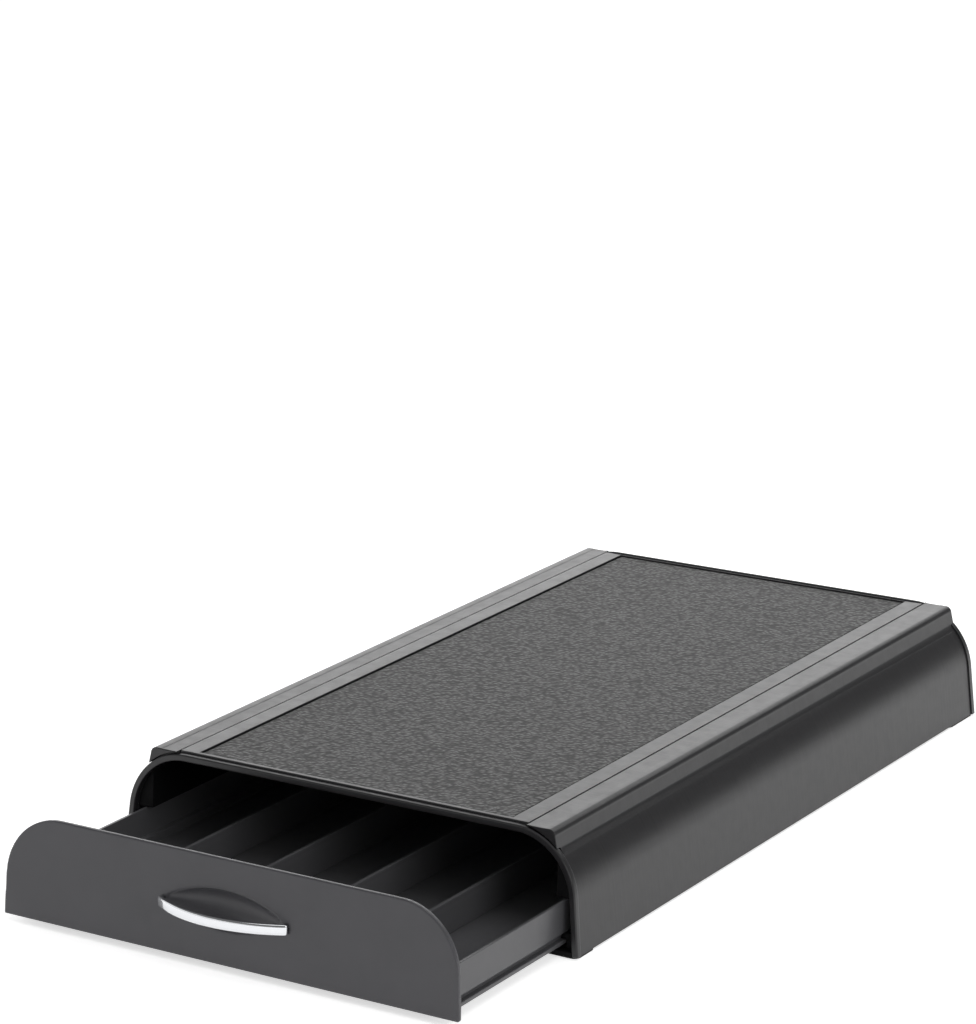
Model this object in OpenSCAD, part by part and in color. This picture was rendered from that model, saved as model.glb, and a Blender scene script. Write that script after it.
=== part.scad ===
// Coffee pod drawer: a low arched sleeve that carries a coffee machine on its
// deck, with a five-lane pod drawer that slides out at the front.
// Millimetres. +Z is up, +Y points to the rear, and the floor is z = 0.
// The origin is the middle of the footprint, with the drawer part open.

/* [Housing] */
// Width of the arch rims at the floor
housing_w = 236; // [220:1:256]
// Length of the housing, front rim to rear rim
housing_len = 371; // [340:1:400]
// Height of the rear rim above the floor
rim_top = 53.2; // [52:0.2:60]
// How far the front rim's top lies below the rear rim's top
rim_step = 1; // [0:0.1:1.6]
// Outer radius of the arch's upper corners
arch_r = 31; // [27:0.5:33]
// Inward lean of the side walls, in degrees
side_lean = 5.6; // [3:0.2:7]
// Backward lean of the front rim and the drawer front, in degrees
front_rake = 5; // [2:0.5:6]
// Wall thickness of the side shells
wall = 2.5; // [1.6:0.1:3]
// How far the side shells lie inside the rims
shell_inset = 0.6; // [0.2:0.1:1]
// Thickness of the rims, across the arch
rim_t = 3; // [2:0.1:4]
// Depth of the rims, front to back
rim_d = 3.2; // [2.6:0.2:5]

/* [Shoulders] */
// Distance from the housing's side, at the floor, to the shoulder's side
shoulder_in = 13.4; // [11:0.2:16]
// Radius of the shoulder's ridge
shoulder_r = 3; // [1:0.2:4]
// How far the rear rim stands above the shoulder's ridge
ridge_drop = 0.2; // [0:0.1:1]
// How far the shoulder's ends lie behind the rims' faces
shoulder_back = 0.6; // [0.2:0.1:2]
// Height of the skirt from the ridge down to the arch
skirt_h = 9; // [8.2:0.2:11]
// Width of the band between the deck and the shoulder's side
band_w = 14.6; // [12:0.2:18]
// Depth of the band below the ridge
band_depth = 0.1; // [0.1:0.1:1.6]
// Width of the raised bead along the ridge
bead_w = 6; // [5:0.5:8]

/* [Deck] */
// Thickness of the deck's border
deck_t = 3; // [2.6:0.1:4]
// How far the rear rim stands above the deck
deck_drop = 0.2; // [0:0.1:1]
// Width of the smooth border at each side of the mat
border_w = 9; // [6:0.5:14]
// Width of the smooth border in front of the mat
border_front = 2; // [1:0.1:6]
// Width of the smooth border behind the mat
border_back = 1; // [0.6:0.1:6]
// Depth of the recess that holds the mat
recess_depth = 1.7; // [1:0.1:1.8]
// Thickness of the mat
mat_t = 1.3; // [0.8:0.1:2]
// Width of the groove around the mat
groove_w = 0.9; // [0.4:0.1:2]
// Height of the ribs under the deck
rib_h = 4; // [2:0.5:6]
// Distance of the first cross rib behind the front rim
rib_front = 24; // [2:1:60]
// Thickness of the ribs under the deck
rib_t = 2; // [1.2:0.2:3]
// Number of ribs along the deck
ribs_long = 3; // [1:1:5]
// Number of ribs across the deck
ribs_cross = 8; // [2:1:12]

/* [Base] */
// Height of the feet below the base
foot_h = 0.8; // [0.6:0.1:3]
// Length of the front feet
foot_front = 15; // [12:1:30]
// Length of the rear feet
foot_rear = 25; // [12:1:30]
// Width of each foot
foot_w = 20; // [14:1:30]
// Thickness of the base plate
base_t = 2; // [1.6:0.1:2.4]
// Number of windows in the base plate
windows = 3; // [2:1:4]
// Width of the bars between the windows
window_bar = 36; // [30:1:45]
// Width of the base plate's edge beside the windows
window_edge = 26; // [22:1:50]

/* [Drawer] */
// How far the drawer is pulled out, from closed
drawer_open = 83; // [60:0.5:150]
// How far the drawer can be pulled out before it stops
drawer_travel = 270; // [180:1:280]
// Number of lanes
lanes = 5; // [3:1:6]
// Thickness of the lane dividers
divider_t = 1.8; // [1.2:0.1:3]
// Height of the lane dividers above the drawer's floor
divider_h = 14.8; // [8:0.2:16]
// Gap between the drawer's side and the rim's inner face
side_gap = 3; // [2.6:0.1:4]
// Gap under the drawer, above the base plate
tray_lift = 2; // [1:0.1:4]
// Height of the drawer's side walls, over all
tray_h = 18.9; // [17:0.1:24]
// Thickness of the drawer's side walls
tray_wall = 1.5; // [1.2:0.1:2.2]
// Thickness of the drawer's end walls
end_wall = 2.2; // [1.6:0.1:3]
// Thickness of the drawer's floor
tray_floor = 2.4; // [1.6:0.1:3]
// Free length between the closed drawer and the back panel
tray_rear_gap = 12; // [11:1:30]

/* [Runners] */
// Height of the groove in the drawer's sides
groove_h = 3.1; // [2.6:0.1:4]
// Depth of the groove in the drawer's sides
groove_depth = 2.4; // [2:0.1:3]
// Thickness of the lip under the groove
groove_lip = 1.8; // [0.8:0.1:2]
// Running clearance between the drawer and its runners
run_gap = 0.3; // [0.2:0.05:0.5]
// Clearance between the drawer's top edge and the guides
lift_gap = 0.5; // [0.3:0.05:1]
// Wall thickness of the guides
guide_t = 1.8; // [1.2:0.1:2.4]
// Distance that the guides' inner faces lie inside the drawer's sides
guide_in = 5; // [3:0.2:7]

/* [Front] */
// Thickness of the drawer front
front_t = 2.5; // [2.2:0.1:4]
// Height of the front's lower edge above the floor
front_low = 3; // [1.5:0.1:5]
// How far the front's top lies below the rim's top
front_drop = 4.8; // [3:0.1:6]
// Radius of the front's upper corners
front_r = 28.5; // [25:0.5:30]
// How far the front's sides lie inside the rim's sides
front_in = 2.4; // [1.6:0.1:3]
// Inward lean of the front's sides, in degrees
front_lean = 2.8; // [1:0.2:5]
// Gap between the closed front and the rim
front_gap = 0.3; // [0.2:0.1:1]
// Distance from the handle's end to the end of the finger scoop
scoop_in = 3.5; // [3.4:0.1:6]
// Half height of the finger scoop
scoop_h = 8.6; // [8:0.1:10]
// Depth of the finger scoop
scoop_depth = 7; // [5:0.5:8]
// Wall thickness of the finger scoop
scoop_wall = 1.8; // [1.2:0.1:2]
// Height of the scoop's middle above the floor
scoop_z = 26.4; // [24:0.2:28]

/* [Handle] */
// Length of the handle, end to end
handle_len = 66; // [64:0.2:80]
// How far the handle stands out from the front
handle_out = 12.2; // [10:0.2:18]
// How far the handle's ends stand out from the front
handle_end = 1.6; // [1.2:0.1:3]
// Height of the handle's band
handle_h = 5; // [4:0.2:7]
// Thickness of the handle's band
handle_t = 2.2; // [1.8:0.1:3]
// Length of the foot at each end of the handle
handle_foot = 3.3; // [3.2:0.1:3.4]
// Height of the handle's middle above the floor
handle_z = 24.8; // [23:0.2:27]

/* [Hidden] */
$fn = 96;

// Colours of the finishes
shell_colour = [0.20, 0.20, 0.21];
front_colour = [0.31, 0.31, 0.33];
mat_colour = [0.12, 0.12, 0.13];
dark_colour = [0.09, 0.09, 0.10];
rubber_colour = [0.06, 0.06, 0.06];
chrome_colour = [0.85, 0.86, 0.88];
steel_colour = [0.62, 0.62, 0.64];

// Housing: levels, widths and depths
half_w = housing_w / 2;
base_z = foot_h;
base_top = base_z + base_t;
front_rim_top = rim_top - rim_step;
front_rim_r = arch_r - rim_step;
deck_top = rim_top - deck_drop;
deck_under = deck_top - deck_t;
ridge_top = rim_top - ridge_drop;
band_z = ridge_top - band_depth;
shoulder_x = half_w - shoulder_in;
deck_half = shoulder_x - band_w;
recess_half = deck_half - border_w;
shell_in = shell_inset + wall;
rear_y = housing_len - rim_d;
inner_y = rear_y - 9.4;
joint_gap = 0.3;
seat_gap = 0.05;
lap_w = 8;
lap_t = 1.9;

// Drawer: levels, widths and places along the housing, closed
tray_z = base_top + tray_lift;
tray_top = tray_z + tray_h;
floor_top = tray_z + tray_floor;
groove_z = tray_z + groove_lip;
groove_top = groove_z + groove_h;
tray_half = side_x(tray_top) - rim_t / cos(side_lean) - side_gap;
tray_in = tray_half - tray_wall;
groove_x = tray_half - groove_depth;
groove_wall = 1.8;
lane_edge = groove_x - groove_wall;
ledge_t = 1.6;
tray_rear = rear_y - tray_rear_gap;
lane_pitch = (2 * tray_in + divider_t) / lanes;
divider_top = floor_top + divider_h;
divider_gap = 0.2;
socket_t = 1.5;
socket_gap = 0.15;

// Runners, guides and stops
runner_gap = 0.7;
rib_reach = 0.5;
runner_x = tray_half + runner_gap;
rib_x = groove_x + rib_reach;
guide_z = tray_top + lift_gap;
guide_x = tray_half - guide_in;
guide_web = 2;
lug_len = 6;
lug_out = 1.7;
lug_h = 5;
lug_drop = 1.3;
stop_len = 6;
stop_low = 1;
stop_gap = 0.2;
stop_y = tray_rear - lug_len - drawer_travel - stop_gap - stop_len;

// Screws: shank radius, head radius and head height
deck_screw = [1.3, 2.8, 1.6];
back_screw = [1.3, 2.8, 1];
base_screw = [1.1, 2.1, 0.9];
front_screw = [1.4, 3.1, 1.5];
handle_screw = [0.8, 1.8, 1.2];
deck_screw_rows = 5;
base_screw_rows = 4;
deck_screw_bite = 2.2;
base_screw_bite = 5;
base_screw_room = 0.4;
front_screw_bite = 1.7;
handle_screw_bite = 1.6;
handle_screw_in = 1.6;
screw_margin = 24;
base_margin = 32;
back_screw_spread = 55;
head_room = 0.1;

// Rear rim and back panel
boss_r = 3.8;
boss_len = 5;
spigot_len = 3;
spigot_w = 8;
flange_t = 0.6;
back_t = rim_d - flange_t - back_screw[2];
back_fit = 0.2;

// Feet
foot_in = 0.8;
foot_stem = 3.5;
foot_corner = 3;

// Front, scoop and handle, measured along the leaning front
front_top = rim_top - front_drop;
front_half = half_w - front_in;
front_y = -front_gap - front_t;
handle_half = handle_len / 2;
scoop_w = handle_half - scoop_in;
scoop_a = (pow(scoop_h, 2) / scoop_depth - scoop_depth) / 2;
scoop_r = scoop_a + scoop_depth;
scoop_rho = (pow(scoop_w, 2) + pow(scoop_depth, 2)) / (2 * scoop_depth);
handle_rise = handle_out - handle_end;
handle_r = (pow(handle_half, 2) + pow(handle_rise, 2)) / (2 * handle_rise);
handle_low = handle_z - handle_h / 2;
handle_screw_x = handle_half - handle_screw_in;
notch_side = 7.5;
notch_low = 1.5;
notch_half = scoop_w + notch_side;
notch_z = scoop_z - scoop_h - notch_low;
front_screw_out = 8;
front_screw_in = 20;
front_screw_x = [notch_half + front_screw_out, tray_in - front_screw_in];
front_screw_z = (floor_top + tray_top) / 2;

// The model's origin is the middle of the footprint
total_front = (front_y - handle_out) * cos(front_rake)
    + (handle_low - base_z) * sin(front_rake) - drawer_open;
origin_y = (housing_len + total_front) / 2;

// Outer side of the housing at a height
function side_x(z) = half_w - tan(side_lean) * (z - base_z);

// Inner side of the shells at a height
function shell_x(z) = side_x(z) - shell_in / cos(side_lean);

// Where the plane d behind the leaning front stands at a height
function plane_y(d, z) = d / cos(front_rake) + tan(front_rake) * (z - base_z);

// Front and rear edge of the mat's recess
function mat_y(end) =
    end == 0 ? plane_y(rim_d, deck_top) + border_front : rear_y - border_back;

// Centre of an arch's corner, from its half width, top and radius
function arch_cz(top, r) = top - r;
function arch_cx(half, top, r, lean = side_lean) =
    half - tan(lean) * (top - r - base_z) - r / cos(lean);

// Puts a part of the housing in the model's frame
module housing_place() {
    translate([0, -origin_y, 0]) children();
}

// Puts a part of the drawer in the model's frame, pulled out
module drawer_place() {
    translate([0, -origin_y - drawer_open, 0]) children();
}

// Leans a shape back with the front, about the front's line on the floor
module raked() {
    translate([0, 0, base_z]) rotate([-front_rake, 0, 0])
        translate([0, 0, -base_z]) children();
}

// A leaning slab, from d behind the front over a depth
module slab(d, depth) {
    raked() translate([-housing_w, d, -2 * rim_top])
        cube([2 * housing_w, depth, 4 * rim_top]);
}

// Keeps what lies behind the plane d behind the leaning front
module behind(d) {
    intersection() {
        children();
        slab(d, 2 * housing_len);
    }
}

// Draws a flat outline in X and Z, and runs it from y0 to y1
module along_y(y0, y1) {
    translate([0, y1, 0]) rotate([90, 0, 0]) linear_extrude(y1 - y0) children();
}

// Both sides of a shape
module both() {
    children();
    mirror([1, 0, 0]) children();
}

// Right half of an arch, drawn d inside its outline, cut off below low
module arch_half(half, top, r, d, low, lean = side_lean) {
    cx = arch_cx(half, top, r, lean);
    cz = arch_cz(top, r);
    foot = half - tan(lean) * (low - base_z) - d / cos(lean);
    polygon([
        [0, low], [foot, low],
        [cx + (r - d) * cos(lean), cz + (r - d) * sin(lean)],
        [cx, cz], [cx, top - d], [0, top - d]
    ]);
    intersection() {
        translate([cx, cz]) circle(r - d);
        translate([cx, cz]) square(r + rim_t);
    }
}

// The housing's whole arch, d inside the rims' outline
module arch(d, low = base_z) {
    both() arch_half(half_w, rim_top, arch_r, d, low);
}

// Right half of the housing's arch
module arch_right(d, low = base_z) {
    arch_half(half_w, rim_top, arch_r, d, low);
}

// An arch ring, from d to d + t inside the rims' outline
module ring(d, t, low = base_z) {
    difference() {
        arch(d, low);
        arch(d + t, base_z - 1);
    }
}

// A screw with a round head: the shank points along +Z from the head's seat
module screw(size, length) {
    cylinder(r = size[0], h = length);
    translate([0, 0, -size[2]]) cylinder(r = size[1], h = size[2]);
}

// Places along the housing of a row of screws
function row_y(i, count, margin) =
    margin + (housing_len - 2 * margin) * i / (count - 1);

// Outline of the shoulder: band, bead, ridge and skirt, outside the walls
module shoulder_outline() {
    cx = arch_cx(half_w, rim_top, arch_r);
    cz = arch_cz(rim_top, arch_r);
    x0 = deck_half + joint_gap;
    skirt_z = ridge_top - skirt_h;
    skirt_x = cx + sqrt(pow(arch_r - shell_inset, 2) - pow(skirt_z - cz, 2));
    polygon([
        [x0, cz], [x0, band_z], [shoulder_x - bead_w - band_depth, band_z],
        [shoulder_x - bead_w, ridge_top], [shoulder_x - shoulder_r, ridge_top],
        [shoulder_x - shoulder_r, ridge_top - shoulder_r],
        [shoulder_x, ridge_top - shoulder_r], [skirt_x, skirt_z]
    ]);
    translate([shoulder_x - shoulder_r, ridge_top - shoulder_r]) circle(shoulder_r);
}

// Right side shell, with the lap that carries the deck's edge
module side_shell() {
    x0 = deck_half + joint_gap;
    lap_x = deck_half + band_w / 2;
    difference() {
        union() {
            behind(rim_d) along_y(0, rear_y) difference() {
                union() {
                    intersection() {
                        arch_right(shell_inset);
                        translate([x0, base_z]) square([half_w, band_z - base_z]);
                    }
                    shoulder_outline();
                }
                arch_right(shell_in, base_z - 1);
            }
            behind(shoulder_back) along_y(0, housing_len - shoulder_back) difference() {
                shoulder_outline();
                arch_right(-seat_gap);
            }
            behind(rim_d) along_y(0, inner_y)
                translate([deck_half - lap_w, deck_under - lap_t])
                square([lap_x - deck_half + lap_w, lap_t]);
        }
        deck_screw_places(deck_under - lap_t - 1, lap_t + 2);
    }
}

// Shanks of the deck's screws on the right, from z upwards
module deck_screw_places(z, h) {
    for (i = [0 : deck_screw_rows - 1])
        translate([deck_half - lap_w / 2, row_y(i, deck_screw_rows, screw_margin), z])
            cylinder(r = deck_screw[0], h = h);
}

module side_shell_right() {
    color(shell_colour) housing_place() side_shell();
}

module side_shell_left() {
    color(shell_colour) housing_place() mirror([1, 0, 0]) side_shell();
}

// Deck: a plate with a recess for the mat and a grid of ribs underneath
module deck_panel() {
    rib_half = deck_half - lap_w - 1;
    rib_y0 = plane_y(rim_d, deck_top) + rib_front;
    rib_y1 = inner_y - 2;
    rib_z = deck_under - rib_h;
    step_x = 2 * rib_half / (ribs_long + 1);
    step_y = (rib_y1 - rib_y0 - rib_t) / (ribs_cross - 1);
    color(shell_colour) housing_place() difference() {
        union() {
            behind(rim_d) translate([-deck_half, 0, deck_under])
                cube([2 * deck_half, rear_y, deck_t]);
            for (i = [1 : ribs_long])
                translate([-rib_half + i * step_x - rib_t / 2, rib_y0, rib_z])
                    cube([rib_t, rib_y1 - rib_y0, rib_h]);
            for (i = [0 : ribs_cross - 1])
                translate([-rib_half, rib_y0 + i * step_y, rib_z])
                    cube([2 * rib_half, rib_t, rib_h]);
        }
        translate([-recess_half, mat_y(0), deck_top - recess_depth])
            cube([2 * recess_half, mat_y(1) - mat_y(0), recess_depth + 1]);
        both() deck_screw_places(deck_under - 1, deck_screw_bite + 1);
    }
}

// Mat: a sheet of grained vinyl that lies in the deck's recess
module deck_mat() {
    color(mat_colour) housing_place()
        translate([
            groove_w - recess_half, mat_y(0) + groove_w, deck_top - recess_depth
        ])
            cube([
                2 * (recess_half - groove_w), mat_y(1) - mat_y(0) - 2 * groove_w, mat_t
            ]);
}

module deck_screws() {
    color(steel_colour) housing_place() both()
        for (i = [0 : deck_screw_rows - 1])
            translate([
                deck_half - lap_w / 2, row_y(i, deck_screw_rows, screw_margin),
                deck_under - lap_t
            ])
                screw(deck_screw, lap_t + deck_screw_bite);
}

// Front rim: the arch ring, leaning back
module front_rim() {
    color(shell_colour) housing_place() intersection() {
        along_y(0, plane_y(rim_d, rim_top)) difference() {
            both() arch_half(half_w, front_rim_top, front_rim_r, 0, base_z);
            both() arch_half(half_w, front_rim_top, front_rim_r, rim_t, base_z - 1);
        }
        slab(0, rim_d);
    }
}

// Centres of the back panel's screws, on the right
function back_screw_at() = [
    [
        side_x(tray_top - lug_h) - (rim_t + spigot_w / 2) / cos(side_lean),
        tray_top - lug_h
    ],
    [back_screw_spread, rim_top - rim_t - spigot_w / 2]
];

// Rear rim: the arch ring, a spigot inside the shells and four screw bosses
module rear_rim() {
    boss_y = rear_y - spigot_len - boss_len;
    color(shell_colour) housing_place() difference() {
        union() {
            along_y(rear_y, housing_len) ring(0, rim_t);
            along_y(rear_y, rear_y + flange_t) difference() {
                arch(rim_t / 2, base_top + back_fit);
                arch(rim_t + spigot_w, base_z - 1);
            }
            along_y(rear_y - spigot_len, rear_y)
                ring(shell_in + back_fit, spigot_w - wall, base_top + back_fit);
            along_y(boss_y, rear_y) both() for (p = back_screw_at())
                translate(p) circle(boss_r);
        }
        along_y(boss_y + 1, housing_len) both() for (p = back_screw_at())
            translate(p) circle(back_screw[0]);
    }
}

module back_panel() {
    panel_y = rear_y + flange_t;
    color(shell_colour) housing_place() difference() {
        along_y(panel_y, panel_y + back_t) arch(rim_t + back_fit, base_top + back_fit);
        along_y(rear_y, housing_len) both() for (p = back_screw_at())
            translate(p) circle(back_screw[0]);
    }
}

module back_screws() {
    seat = rear_y + flange_t + back_t;
    length = back_t + flange_t + spigot_len + boss_len - 1;
    color(steel_colour) housing_place() both() for (p = back_screw_at())
        translate([p[0], seat, p[1]]) rotate([90, 0, 0]) screw(back_screw, length);
}

// Guide: an inner wall with a foot above the drawer's side, closed at the front
module guide() {
    module region() {
        intersection() {
            arch_right(shell_in);
            translate([guide_x, guide_z]) square([half_w, rim_top]);
        }
    }
    behind(rim_d) along_y(0, inner_y) intersection() {
        region();
        union() {
            translate([guide_x, guide_z]) square([guide_t, rim_top]);
            translate([guide_x, guide_z]) square([half_w, guide_t]);
        }
    }
    intersection() {
        along_y(0, plane_y(rim_d + guide_web, rim_top)) region();
        slab(rim_d, guide_web);
    }
}

module guide_right() {
    color(dark_colour) housing_place() guide();
}

module guide_left() {
    color(dark_colour) housing_place() mirror([1, 0, 0]) guide();
}

// Runner: a rail that stands on the base, with a rib in the drawer's groove
module runner() {
    rib_top = groove_top - run_gap;
    difference() {
        behind(rim_d) along_y(0, inner_y) polygon([
            [runner_x, base_top], [shell_x(base_top), base_top],
            [shell_x(rib_top), rib_top], [rib_x, rib_top],
            [rib_x, groove_z + run_gap], [runner_x, groove_z + run_gap]
        ]);
        for (i = [0 : base_screw_rows - 1])
            translate([base_screw_x(), row_y(i, base_screw_rows, base_margin), base_z])
                cylinder(r = base_screw[0], h = base_t + base_screw_bite);
    }
}

function base_screw_x() = (runner_x + shell_x(groove_top)) / 2;

module runner_right() {
    color(dark_colour) housing_place() runner();
}

module runner_left() {
    color(dark_colour) housing_place() mirror([1, 0, 0]) runner();
}

// Stop: a block on the shell's inner face that the drawer's lug meets
module stop() {
    z0 = tray_top - lug_drop - lug_h - stop_low;
    along_y(stop_y, stop_y + stop_len) polygon([
        [runner_x, z0], [shell_x(z0), z0], [shell_x(tray_top), tray_top],
        [runner_x, tray_top]
    ]);
}

module stop_right() {
    color(dark_colour) housing_place() stop();
}

module stop_left() {
    color(dark_colour) housing_place() mirror([1, 0, 0]) stop();
}

// A rectangle with rounded corners, about its middle
module rounded(w, l, r) {
    square([w, l - 2 * r], center = true);
    square([w - 2 * r, l], center = true);
    for (x = [-1, 1]) for (y = [-1, 1])
        translate([x * (w / 2 - r), y * (l / 2 - r)]) circle(r);
}

// Base: a plate between the shells, with windows and sunk screw heads
module base_plate() {
    edge = shell_x(base_top);
    low_edge = shell_x(base_z);
    win_w = 2 * (edge - window_edge);
    win_len = (housing_len - (windows + 1) * window_bar) / windows;
    color(dark_colour) housing_place() difference() {
        behind(0) along_y(0, housing_len) polygon([
            [-edge, base_top], [-low_edge, base_z], [low_edge, base_z], [edge, base_top]
        ]);
        for (i = [0 : windows - 1])
            translate([0, (i + 1) * window_bar + (i + 0.5) * win_len, base_z - 1])
                linear_extrude(base_t + 2) rounded(win_w, win_len, 8);
        both() for (i = [0 : base_screw_rows - 1])
            translate([base_screw_x(), row_y(i, base_screw_rows, base_margin), base_z - 1]) {
                cylinder(r = base_screw[0], h = base_t + 2);
                cylinder(r = base_screw[1] + head_room, h = 1 + base_screw[2]);
            }
        both() for (row = [0, 1]) translate([foot_x(), foot_y(row), base_z - 1])
            cylinder(r = foot_stem, h = base_t + 2);
    }
}

module base_screws() {
    length = base_t - base_screw[2] + base_screw_bite - base_screw_room;
    color(steel_colour) housing_place() both() for (i = [0 : base_screw_rows - 1])
        translate([
            base_screw_x(), row_y(i, base_screw_rows, base_margin),
            base_z + base_screw[2]
        ])
            screw(base_screw, length);
}

function foot_x() = side_x(base_z) - foot_in - foot_w / 2;
function foot_y(row) =
    row == 0 ? foot_in + foot_front / 2 : housing_len - foot_in - foot_rear / 2;

// Foot: a rubber pad at a corner, with a stem pressed through the base
module foot(side, row) {
    color(rubber_colour) housing_place() translate([side * foot_x(), foot_y(row), 0]) {
        linear_extrude(foot_h)
            rounded(foot_w, row == 0 ? foot_front : foot_rear, foot_corner);
        cylinder(r = foot_stem, h = base_top);
    }
}

module foot_front_left() { foot(-1, 0); }
module foot_front_right() { foot(1, 0); }
module foot_rear_left() { foot(-1, 1); }
module foot_rear_right() { foot(1, 1); }

// Middle of a lane divider
function divider_x(i) = -tray_in + i * lane_pitch - divider_t / 2;

// Half of the tray's section: floor, grooved foot and side wall
module tray_half_outline() {
    polygon([
        [0, tray_z], [tray_half, tray_z], [tray_half, groove_z],
        [groove_x, groove_z], [groove_x, groove_top], [tray_half, groove_top],
        [tray_half, tray_top], [tray_in, tray_top],
        [tray_in, groove_top + ledge_t], [lane_edge, groove_top + ledge_t],
        [lane_edge, floor_top], [0, floor_top]
    ]);
}

// Half of the end walls' outline, which enters the sides' walls by half
module end_half_outline() {
    low_x = lane_edge + groove_wall / 2;
    high_x = tray_in + tray_wall / 2;
    polygon([
        [0, floor_top - 1], [low_x, floor_top - 1], [low_x, groove_top + ledge_t / 2],
        [high_x, groove_top + ledge_t / 2], [high_x, tray_top], [0, tray_top]
    ]);
}

// Sockets: pairs of ribs that hold the dividers' ends, from y0 to y1
module divider_sockets(y0, y1) {
    for (i = [1 : lanes - 1]) for (s = [-1, 1])
        translate([
            divider_x(i) + s * (divider_t + socket_t) / 2 + s * socket_gap - socket_t / 2,
            y0, floor_top
        ])
            cube([socket_t, y1 - y0, divider_h]);
}

// Tray: one moulding with a grooved foot at each side, end walls and stop lugs
module drawer_tray() {
    front_reach = plane_y(end_wall, divider_top) + socket_t;
    rear_in = tray_rear - end_wall;
    color(front_colour) drawer_place() difference() {
        union() {
            behind(-front_gap) along_y(-front_gap - 1, tray_rear)
                both() tray_half_outline();
            intersection() {
                along_y(-front_gap - 1, tray_rear) both() end_half_outline();
                slab(-front_gap, end_wall);
            }
            along_y(rear_in, tray_rear) both() end_half_outline();
            behind(-front_gap) divider_sockets(-front_gap, front_reach);
            divider_sockets(rear_in - socket_t, rear_in);
            both() translate([tray_half - 1, tray_rear - lug_len, tray_top - lug_drop - lug_h])
                cube([1 + lug_out, lug_len, lug_h]);
        }
        translate([-notch_half, -front_gap - 2, notch_z])
            cube([2 * notch_half, front_reach + front_gap + 3, tray_top]);
        raked() both() for (x = front_screw_x)
            translate([x, -front_gap - 1, front_screw_z]) rotate([-90, 0, 0])
                cylinder(r = front_screw[0], h = end_wall + 2);
    }
}

// Lane divider: a thin upright wall that stands between its sockets
module lane_divider(i) {
    color(front_colour) drawer_place() difference() {
        behind(end_wall - front_gap + divider_gap)
            translate([divider_x(i) - divider_t / 2, 0, floor_top])
                cube([divider_t, tray_rear - end_wall - divider_gap, divider_h]);
        raked() scoop_body(scoop_wall + 0.5);
    }
}

// Lens-shaped body that the finger scoop is cut by, grown by d
module scoop_body(d) {
    translate([0, front_y - scoop_a, scoop_z]) rotate([0, 90, 0])
        rotate_extrude($fn = 128) intersection() {
            translate([scoop_r - scoop_rho, 0]) circle(scoop_rho + d, $fn = 256);
            translate([0, -scoop_rho]) square([scoop_r + d + 1, 2 * scoop_rho]);
        }
}

// Drawer front: an arched panel with a finger scoop moulded into it
module drawer_front() {
    color(front_colour) drawer_place() raked() difference() {
        union() {
            along_y(front_y, -front_gap) both()
                arch_half(front_half, front_top, front_r, 0, front_low, front_lean);
            intersection() {
                scoop_body(scoop_wall);
                translate([-scoop_rho, front_y + front_t / 2, scoop_z - scoop_rho])
                    cube([2 * scoop_rho, scoop_depth + scoop_wall, 2 * scoop_rho]);
            }
        }
        scoop_body(0);
        both() for (x = front_screw_x)
            translate([x, 1 - front_gap, front_screw_z]) rotate([90, 0, 0])
                cylinder(r = front_screw[0], h = front_screw_bite + 1);
        both() translate([handle_screw_x, front_y - 1, handle_z]) rotate([-90, 0, 0])
            cylinder(r = handle_screw[0], h = front_t + 2);
    }
}

module front_screws() {
    color(steel_colour) drawer_place() raked() both() for (x = front_screw_x)
        translate([x, end_wall - front_gap, front_screw_z]) rotate([90, 0, 0])
            screw(front_screw, end_wall + front_screw_bite);
}

// Handle: a bowed band with a foot at each end
module handle_bow() {
    module bow_plan() {
        difference() {
            intersection() {
                translate([0, handle_r - handle_out]) circle(handle_r, $fn = 256);
                translate([-handle_half, -handle_out]) square([handle_len, handle_out]);
            }
            difference() {
                translate([0, handle_r - handle_out])
                    circle(handle_r - handle_t, $fn = 256);
                both() translate([handle_half - handle_foot, -handle_out])
                    square([handle_foot, 2 * handle_out]);
            }
        }
    }
    color(chrome_colour) drawer_place() raked() difference() {
        translate([0, front_y, handle_low]) linear_extrude(handle_h) bow_plan();
        both() translate([handle_screw_x, front_y + 1, handle_z]) rotate([90, 0, 0])
            cylinder(r = handle_screw[0], h = handle_screw_bite + 1);
    }
}

module handle_screws() {
    color(steel_colour) drawer_place() raked() both()
        translate([handle_screw_x, -front_gap, handle_z]) rotate([90, 0, 0])
            screw(handle_screw, front_t + handle_screw_bite);
}

deck_panel();
deck_mat();
deck_screws();
side_shell_left();
side_shell_right();
front_rim();
rear_rim();
back_panel();
back_screws();
guide_left();
guide_right();
runner_left();
runner_right();
stop_left();
stop_right();
base_plate();
base_screws();
foot_front_left();
foot_front_right();
foot_rear_left();
foot_rear_right();
drawer_tray();
drawer_front();
front_screws();
handle_bow();
handle_screws();
for (i = [1 : lanes - 1])
    lane_divider(i);
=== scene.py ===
"""Finishes the coffee pod drawer: housing, deck, mat, pod drawer, handle and studio.

Run as a script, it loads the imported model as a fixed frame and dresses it. All
sizes are in metres, in the frame's own axes: X to the right, Y to the rear, Z up.
"""

import math
from typing import NamedTuple

import bmesh
import bpy
from mathutils import Matrix, Vector


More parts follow.
